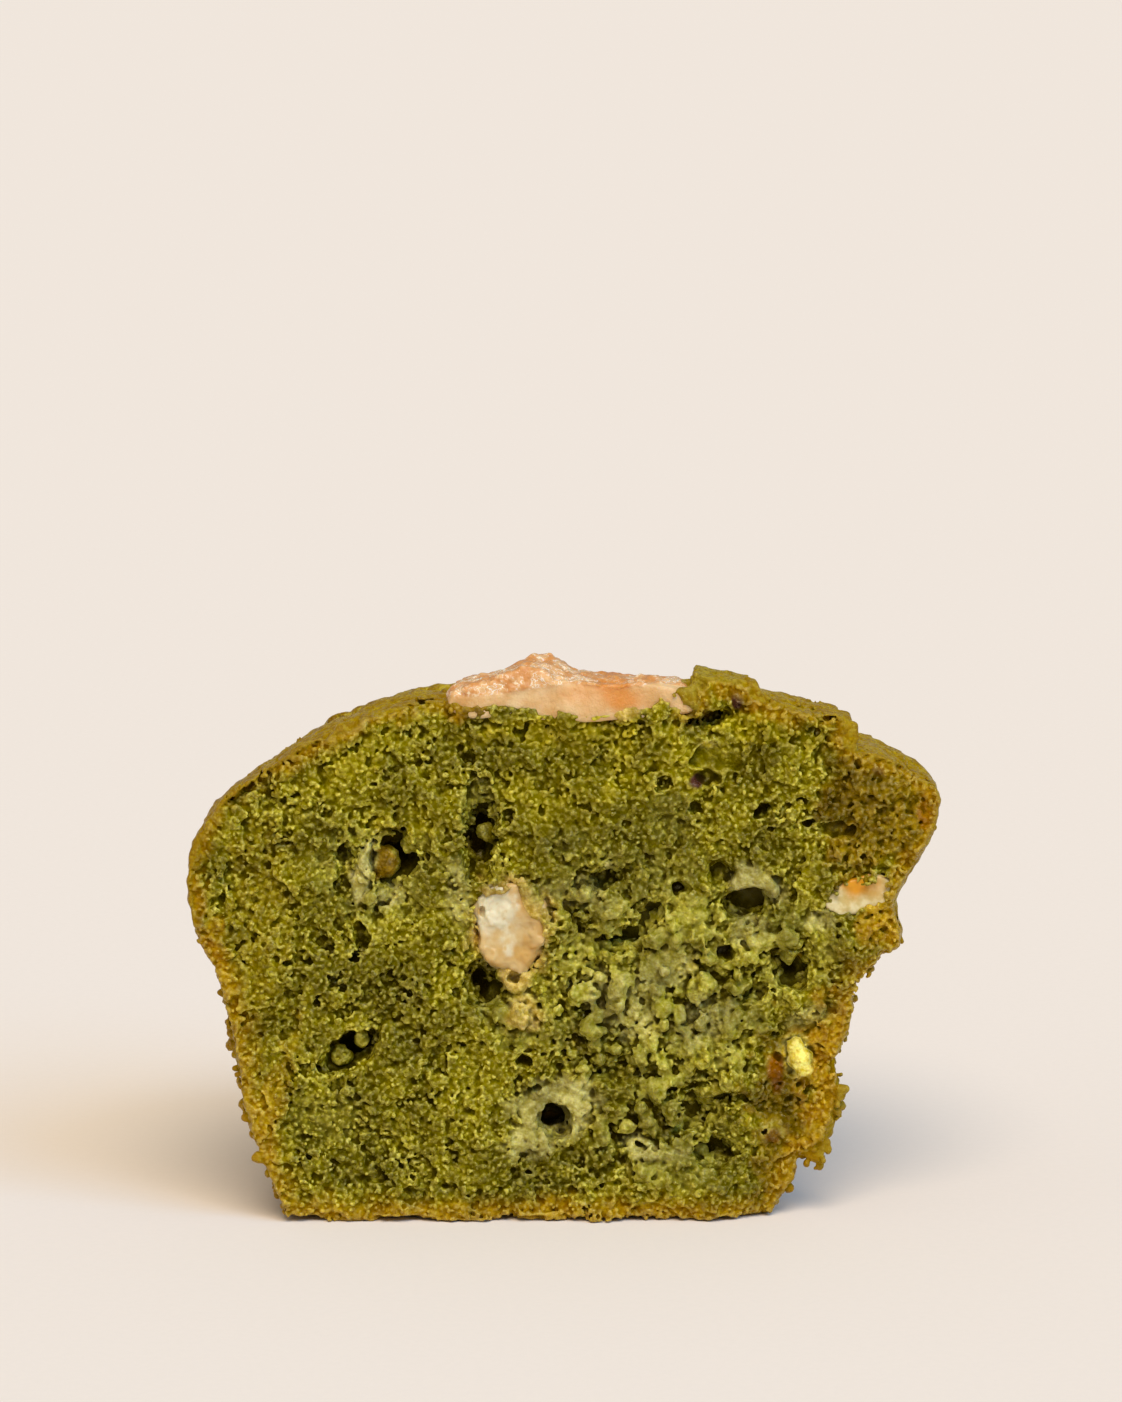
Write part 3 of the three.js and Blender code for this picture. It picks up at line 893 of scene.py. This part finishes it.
def tell_depth(piece, points, front):
    """The height of each vertex, its depth below the level of the cut, and how deep it lies in a hole or
    behind the cut. The material paints shade on the low and deep places from these.
    """
    depth = WHOLE.at(SPONGE_BASE, points)
    behind = smoothstep(2.4, 4.0, points[:, 1] - CUT_Y) * front * (1 - places(points, AMBER))
    store(piece, "height", points[:, 2])
    store(piece, "level", smoothstep(-1.1, 0.1, depth))
    # Painted shade: marks places deep below the cut's level or far behind the cut, inside holes.
    store(piece, "sunken_shade", np.maximum(smoothstep(-0.8, -1.8, depth), behind))


def tell_edge(piece, points, front):
    """The browned rim of the cut, and the thin line along the outline."""
    inside = rim_distance_at(points)
    ragged = 0.7 * noise(points, 2.4, 40) + 0.5 * noise(points, 0.8, 41)
    width = 2.2 + 1.4 * smoothstep(LIP_FOLD + 3, LIP_FOLD - 3, points[:, 2])
    store(piece, "rim", smoothstep(width, 0.2, inside + ragged) * front)
    store(piece, "line", smoothstep(0.8, 0.35, inside + 0.35 * ragged))


def tell_sponge_pieces():
    """How deep, hollow, pale, golden or browned the sponge is at each vertex."""
    fillings = {
        CRUMB: filling(CRUMB, CRUMB_SPONGE, CRUMB_WIDE_BLUR),
        WHOLE: filling(WHOLE, WHOLE_SPONGE, WHOLE_WIDE_BLUR),
    }
    for piece in SPONGE_PIECES:
        grid = CRUMB if piece.name.startswith("crumb") else WHOLE
        points = vertex_points(piece)
        front = front_share(points)
        store(piece, "front", front)
        tell_hollows(piece, points, grid, *fillings[grid])
        tell_depth(piece, points, front)
        tell_edge(piece, points, front)
        for name, (spots, ragged, seed, in_cut) in TINTS.items():
            store(piece, name, places(points, spots, ragged, seed) * (front if in_cut else 1))


def tell_chunks():
    """Where the chunks are toasted, whitest or orange, and how far behind the cut."""
    for piece in (SLAB, MIDDLE, SIDE):
        points = vertex_points(piece)
        store(piece, "top", slab_top_share(points))
        store(piece, "white", places(points, WHITE, 0.4, 64, (1.7, 0.2)))
        store(piece, "orange", places(points, ORANGE, 0.3, 67, (1.5, 0.4)))
        store(piece, "behind", points[:, 1] - CUT_Y)


tell_sponge_pieces()
tell_chunks()


# Materials


def linear(red, green, blue):
    """A colour from its screen values, 0 to 255."""
    levels = (value / 255 for value in (red, green, blue))
    return (*((v / 12.92 if v <= 0.04045 else ((v + 0.055) / 1.055) ** 2.4) for v in levels), 1)


class Nodes:
    """Short ways to make and join shader nodes."""

    def __init__(self, name):
        self.material = bpy.data.materials.new(name)
        self.material.use_nodes = True
        self.tree = self.material.node_tree
        self.shader = self.tree.nodes["Principled BSDF"]
        self.object = self.tree.nodes.new("ShaderNodeTexCoord").outputs["Object"]

    def put(self, socket, value):
        if isinstance(value, bpy.types.NodeSocket):
            self.tree.links.new(value, socket)
        else:
            socket.default_value = value

    def told(self, name, most=None):
        """The stored number of that name, or so much of it at most."""
        node = self.tree.nodes.new("ShaderNodeAttribute")
        node.attribute_name = name
        told = node.outputs["Fac"]
        return told if most is None else self.times(told, most)

    def math(self, kind, a, b=0.0):
        node = self.tree.nodes.new("ShaderNodeMath")
        node.operation = kind
        self.put(node.inputs[0], a)
        self.put(node.inputs[1], b)
        return node.outputs[0]

    def times(self, a, b):
        return self.math("MULTIPLY", a, b)

    def range(self, value, start, end, low=0.0, high=1.0):
        """Goes smoothly from low to high, as the value goes from start to end."""
        node = self.tree.nodes.new("ShaderNodeMapRange")
        node.interpolation_type = "SMOOTHSTEP"
        for socket, number in zip(node.inputs, (value, start, end, low, high)):
            self.put(socket, number)
        return node.outputs[0]

    def noise(self, size, detail=2.0, roughness=0.55):
        """Noise about `size` millimetres across."""
        node = self.tree.nodes.new("ShaderNodeTexNoise")
        self.put(node.inputs["Vector"], self.object)
        node.inputs["Scale"].default_value = 1 / (size * MM)
        node.inputs["Detail"].default_value = detail
        node.inputs["Roughness"].default_value = roughness
        return node.outputs["Fac"]

    def cells(self, size):
        """Grains about `size` millimetres across: distance from the middle, and a chance each."""
        node = self.tree.nodes.new("ShaderNodeTexVoronoi")
        self.put(node.inputs["Vector"], self.object)
        node.inputs["Scale"].default_value = 1 / (size * MM)
        separate = self.tree.nodes.new("ShaderNodeSeparateColor")
        self.put(separate.inputs[0], node.outputs["Color"])
        return node.outputs["Distance"], separate.outputs[0]

    def mix(self, share, a, b, kind="MIX"):
        """The colour a with a share of b. Three numbers are screen values."""
        node = self.tree.nodes.new("ShaderNodeMix")
        node.data_type = "RGBA"
        node.blend_type = kind
        self.put(node.inputs[0], share)
        for socket, colour in ((node.inputs[6], a), (node.inputs[7], b)):
            on_screen = isinstance(colour, tuple) and len(colour) == 3
            self.put(socket, linear(*colour) if on_screen else colour)
        return node.outputs[2]

    def fade(self, value, start, end, a, b):
        """Goes from the colour a to b, as the value goes from start to end."""
        return self.mix(self.range(value, start, end), a, b)

    def bump(self, height, strength, distance_mm):
        node = self.tree.nodes.new("ShaderNodeBump")
        node.inputs["Strength"].default_value = strength
        node.inputs["Distance"].default_value = distance_mm * MM
        self.put(node.inputs["Height"], height)
        self.put(self.shader.inputs["Normal"], node.outputs[0])

    def set(self, **values):
        """Sets sockets of the shader, with _ for each space in their names."""
        for name, value in values.items():
            self.put(self.shader.inputs[name.replace("_", " ")], value)

    def moist(self, colour, roughness, share, radius, depth_mm):
        """A surface that lets in a share of the light, to a depth for each colour."""
        self.set(
            Base_Color=colour,
            Roughness=roughness,
            Subsurface_Weight=share,
            Subsurface_Radius=radius,
            Subsurface_Scale=depth_mm * MM,
        )
        return self.material


# Tints of the crumb: where the grain's noise goes from one colour to the other
CRUMB_TINTS = {
    "gold": (0.35, 0.7, (104, 78, 0), (148, 116, 10)),
    "amber": (0.35, 0.65, (158, 108, 0), (204, 164, 30)),
    "pale": (0.35, 0.7, (166, 154, 76), (208, 200, 134)),
    "peach": (0.35, 0.65, (168, 136, 50), (210, 182, 110)),
    "straw": (0.35, 0.6, (196, 172, 40), (238, 224, 128)),
}
WIDE_TONE = ((0.7, 0.69, 0.55, 1), (1.25, 1.25, 1.1, 1))


def green_crumb(n, grain, patch, chance, highlight_share):
    """Greens that darken towards low levels as painted shade, with tones from the grain and chance, and
    a painted highlight on the bright tips.
    """
    # Painted shade: the green is darker where the crumb lies low.
    green = n.mix(n.told("level"), (48, 44, 0), (112, 101, 0))
    green = n.mix(n.times(patch, 0.5), green, (90, 80, 0))
    green = n.mix(n.range(grain, 0.45, 0.7, 0.0, 0.7), green, (132, 120, 4))
    green = n.mix(n.range(chance, 0.25, 0.0, 0.0, 0.4), green, (66, 54, 0))
    green = n.mix(n.range(chance, 0.7, 1.0, 0.0, 0.6), green, (184, 172, 54))
    # Painted highlight: the raised tips are made paler and yellower.
    highlight_colour = n.fade(n.noise(0.45, 2.0), 0.42, 0.6, (130, 118, 2), (206, 194, 84))
    return n.mix(n.times(highlight_share, 0.8), green, highlight_colour)


def crumb_colour(n, patch, chance, highlight_share, deep):
    """The green crumb with its tints, wide tones and browned rim, with painted shade in pits, pockets
    and holes and a painted highlight on the tips.
    """
    grain = n.noise(0.75, 2.0, 0.6)
    green = green_crumb(n, grain, patch, chance, highlight_share)
    clump = n.range(n.noise(2.4, 3.0, 0.5), 0.38, 0.56, 0.25, 0.9)
    # The coarse colour is kept to the raised places, so the low ones keep their painted shade.
    clump = n.times(n.told("level"), clump)
    coarse = n.fade(grain, 0.3, 0.7, (148, 142, 28), (194, 186, 96))
    green = n.mix(n.told("coarse", clump), green, coarse)
    # The yellow is paler on the raised tips, a painted highlight.
    yellow = n.mix(highlight_share, (136, 122, 0), (194, 176, 34))
    green = n.mix(n.told("yellow", 0.8), green, yellow)
    green = n.mix(n.told("grey", 0.6), green, (104, 102, 46))
    for name, tint in CRUMB_TINTS.items():
        green = n.mix(n.told(name), green, n.fade(grain, *tint))
    green = n.mix(n.told("rust"), green, n.mix(patch, (104, 62, 0), (150, 92, 0)))
    green = n.mix(n.told("purple"), green, (74, 40, 34))
    tone = n.fade(n.noise(4.6, 3.0), 0.38, 0.62, *WIDE_TONE)
    green = n.mix(1.0, green, tone, "MULTIPLY")
    # Painted shade in pits, in wide pockets and deep in holes.
    pit_shade = n.range(n.told("hollow"), 0.55, 0.95, 0.0, 0.3)
    green = n.mix(pit_shade, green, (76, 64, 0))
    green = n.mix(n.times(deep, 0.7), green, (44, 34, 0))
    green = n.mix(n.told("sunken_shade", 0.9), green, (34, 25, 0))
    edge = n.fade(grain, 0.4, 0.65, (140, 98, 0), (182, 142, 12))
    # Painted highlight: the browned rim is paler on its raised tips.
    edge = n.mix(n.times(highlight_share, 0.7), edge, (208, 176, 56))
    return n.mix(n.told("rim", 0.8), green, edge)


def skin_colour(n, chance, deep):
    """Olive crust above the lip's fold, golden torn skin below it, with painted shade in wide pockets.
    """
    crust = n.fade(n.noise(1.6, 3.0, 0.65), 0.4, 0.68, (136, 100, 0), (174, 146, 8))
    crust = n.mix(n.range(n.noise(0.6, 2.0), 0.56, 0.75), crust, (106, 74, 0))
    crust = n.mix(n.range(chance, 0.62, 1.0, 0.0, 0.7), crust, (188, 168, 54))
    crust = n.mix(n.range(chance, 0.3, 0.0, 0.0, 0.6), crust, (100, 74, 0))
    side = n.fade(n.noise(1.4, 3.0, 0.65), 0.35, 0.7, (146, 102, 0), (182, 146, 20))
    side = n.mix(n.range(n.noise(4.5, 2.0), 0.45, 0.7, 0.0, 0.6), side, (118, 100, 0))
    skin = n.mix(n.range(n.told("height"), LIP_FOLD - 2, LIP_FOLD + 2), side, crust)
    fresh = n.mix(chance, (104, 94, 2), (182, 170, 66))
    skin = n.mix(n.told("yellow", 0.8), skin, fresh)
    # Painted shade in wide pockets of the skin.
    return n.mix(n.times(deep, 0.7), skin, (60, 38, 0))


def sponge_material():
    """Crumb at the cut, skin round it, and a line of crust along the outline."""
    n = Nodes("green_sponge")
    patch = n.range(n.noise(3.2, 3.0, 0.6), 0.36, 0.64)
    apart, chance = n.cells(0.34)
    # Masks for a painted highlight on the raised tips and painted shade in wide pockets.
    highlight_share = n.range(n.told("hollow"), 0.6, 0.15)
    deep = n.range(n.told("pocket"), 0.55, 0.95)
    crumb = crumb_colour(n, patch, chance, highlight_share, deep)
    colour = n.mix(n.told("front"), skin_colour(n, chance, deep), crumb)
    colour = n.mix(n.told("line", 0.5), colour, (154, 122, 8))
    glint = n.range(n.told("hollow"), 0.6, 0.25, 0.0, 0.55)
    glint = n.times(glint, n.range(n.told("front"), 0.0, 1.0, 0.4, 1.0))
    height = n.math("SUBTRACT", n.times(n.noise(0.24, 3.0, 0.6), 0.7), apart)
    n.bump(height, 0.8, 0.14)
    n.set(Specular_IOR_Level=glint, Specular_Tint=(1.0, 0.92, 0.6, 1))
    roughness = n.range(n.noise(0.5, 2.0), 0.35, 0.65, 0.18, 0.45)
    return n.moist(colour, roughness, 0.5, (0.9, 0.8, 0.1), 0.36)


def slab_material():
    """White chocolate with a toasted and mottled top, and thin painted glints on it."""
    n = Nodes("toasted_white_chocolate")
    top = n.fade(n.noise(1.5, 3.0, 0.6), 0.36, 0.66, (214, 146, 76), (236, 190, 132))
    top = n.mix(n.range(n.noise(0.45, 2.0), 0.58, 0.72), top, (248, 222, 182))
    # Painted glints: thin pale squiggles in patches of the top stand in for small highlights.
    painted_glint = n.math("ABSOLUTE", n.math("SUBTRACT", n.noise(0.55, 1.0), 0.5))
    glint_patches = n.range(n.noise(1.5, 2.0), 0.46, 0.54)
    painted_glint = n.times(n.range(painted_glint, 0.035, 0.01), glint_patches)
    top = n.mix(n.times(painted_glint, 0.9), top, (255, 246, 226))
    rear = n.range(n.told("behind"), 5.5, 8.5, 0.0, 0.75)
    top = n.mix(rear, top, (178, 104, 34))
    cut = n.fade(n.noise(2.2, 2.0), 0.3, 0.7, (214, 164, 98), (232, 196, 142))
    colour = n.mix(n.told("top"), cut, top)
    colour = n.mix(n.told("orange", 0.8), colour, (218, 134, 30))
    n.bump(n.noise(0.5, 4.0, 0.65), 1.0, 0.2)
    roughness = n.range(n.told("top"), 0.0, 1.0, 0.42, 0.15)
    return n.moist(colour, roughness, 0.35, (1.0, 0.6, 0.3), 1.2)


def core_material():
    """White chocolate, whitest in its places and peach between them."""
    n = Nodes("white_chocolate_core")
    white = n.range(n.noise(1.6, 3.0), 0.35, 0.65, 0.0, 0.35)
    white = n.math("ADD", white, n.range(n.told("white"), 0.0, 1.0))
    tone = n.fade(n.noise(2.2, 2.0), 0.35, 0.65, (200, 158, 84), (212, 182, 122))
    colour = n.mix(n.range(white, 0.3, 1.1), tone, (226, 216, 180))
    colour = n.mix(n.range(n.noise(0.9, 2.0), 0.56, 0.74, 0.0, 0.45), colour, (196, 156, 70))
    n.bump(n.noise(0.4, 3.0, 0.6), 0.4, 0.12)
    return n.moist(colour, 0.36, 0.4, (1.0, 0.7, 0.4), 1.0)


def side_chunk_material():
    """White chocolate with an orange edge."""
    n = Nodes("white_chocolate_toasted_edge")
    pale = n.fade(n.noise(1.1, 2.0), 0.35, 0.65, (196, 172, 104), (224, 208, 156))
    colour = n.mix(n.told("orange"), pale, (218, 148, 0))
    n.bump(n.noise(0.45, 3.0, 0.6), 0.35, 0.12)
    return n.moist(colour, 0.42, 0.15, (1.0, 0.6, 0.3), 0.8)


SPONGE_MATERIAL = sponge_material()
for piece in SPONGE_PIECES:
    piece.data.materials.append(SPONGE_MATERIAL)
SLAB.data.materials.append(slab_material())
MIDDLE.data.materials.append(core_material())
SIDE.data.materials.append(side_chunk_material())


# Floor, light and camera

# Sizes in metres
FLOOR_HALF = 8.0
FLOOR_DROP = 0.00002
FLOOR_COLOUR = (0.9, 0.815, 0.722, 1)
SPECK_COLOUR = (0.76, 0.7, 0.6, 1)
SKY_COLOUR = (1.02, 0.99, 0.92, 1)
SKY_STRENGTH = 0.36

# Lamps: strength, colour, height and turn to the right of the front in degrees, spread
LAMPS = {
    "key": (0.765, (0.42, 1.0, 1.88), 38, 47, 34),
    "fill": (1.9, (1.157, 1.0, 0.82), 51, 2, 36),
}

# The camera: rise in degrees, distance in metres, and the pixel of the anchor
CAMERA_RISE = 9
CAMERA_DISTANCE = 0.6
CAMERA_CLIP = (0.01, 50)
SENSOR_HEIGHT = 36
PIXELS_WIDE = 1122
PIXELS_HIGH = 1402
PIXELS_PER_MM = 10.0
ANCHOR = Vector((0, CUT_Y * MM, 0))
ANCHOR_PIXEL = (545, 1222)


def build_floor():
    mesh = bpy.data.meshes.new("floor")
    turns = ((-1, -1), (1, -1), (1, 1), (-1, 1))
    corners = [(x * FLOOR_HALF, y * FLOOR_HALF, 0) for x, y in turns]
    mesh.from_pydata(corners, [], [(0, 1, 2, 3)])
    floor = bpy.data.objects.new("floor", mesh)
    floor.location.z = -FLOOR_DROP
    bpy.context.scene.collection.objects.link(floor)
    n = Nodes("pale_floor")
    speck = n.range(n.noise(0.9, 2.0), 0.35, 0.65, 0.0, 0.06)
    n.set(
        Base_Color=n.mix(speck, FLOOR_COLOUR, SPECK_COLOUR),
        Roughness=1.0,
        Specular_IOR_Level=0.0,
    )
    mesh.materials.append(n.material)


def build_light():
    world = bpy.data.worlds.new("studio")
    bpy.context.scene.world = world
    world.use_nodes = True
    background = world.node_tree.nodes["Background"]
    background.inputs["Color"].default_value = SKY_COLOUR
    background.inputs["Strength"].default_value = SKY_STRENGTH
    for name, (strength, colour, height, turn, spread_angle) in LAMPS.items():
        sun = bpy.data.lights.new(name, "SUN")
        sun.energy = strength
        sun.angle = math.radians(spread_angle)
        sun.color = colour
        lamp = bpy.data.objects.new(name, sun)
        rise, aside = math.radians(height), math.radians(turn)
        level = math.cos(rise)
        towards = Vector((math.sin(aside) * level, -math.cos(aside) * level, math.sin(rise)))
        lamp.rotation_euler = towards.to_track_quat("Z", "Y").to_euler()
        bpy.context.scene.collection.objects.link(lamp)


def build_camera():
    """Puts the anchor on its pixel, with the photograph's scale at the cut face."""
    rise = math.radians(CAMERA_RISE)
    forward = Vector((0, math.cos(rise), -math.sin(rise)))
    right = Vector((1, 0, 0))
    up = right.cross(forward)
    aside = (ANCHOR_PIXEL[0] - PIXELS_WIDE / 2) / PIXELS_PER_MM * MM
    below = (ANCHOR_PIXEL[1] - PIXELS_HIGH / 2) / PIXELS_PER_MM * MM
    camera = bpy.data.cameras.new("camera")
    camera.sensor_fit = "VERTICAL"
    camera.sensor_height = SENSOR_HEIGHT
    camera.lens = PIXELS_PER_MM * CAMERA_DISTANCE / MM / PIXELS_HIGH * SENSOR_HEIGHT
    camera.clip_start, camera.clip_end = CAMERA_CLIP
    holder = bpy.data.objects.new("camera", camera)
    holder.location = ANCHOR - forward * CAMERA_DISTANCE - right * aside + up * below
    holder.rotation_euler = forward.to_track_quat("-Z", "Y").to_euler()
    bpy.context.scene.collection.objects.link(holder)
    bpy.context.scene.camera = holder


build_floor()
build_light()
build_camera()
bpy.context.scene.view_settings.view_transform = "Standard"
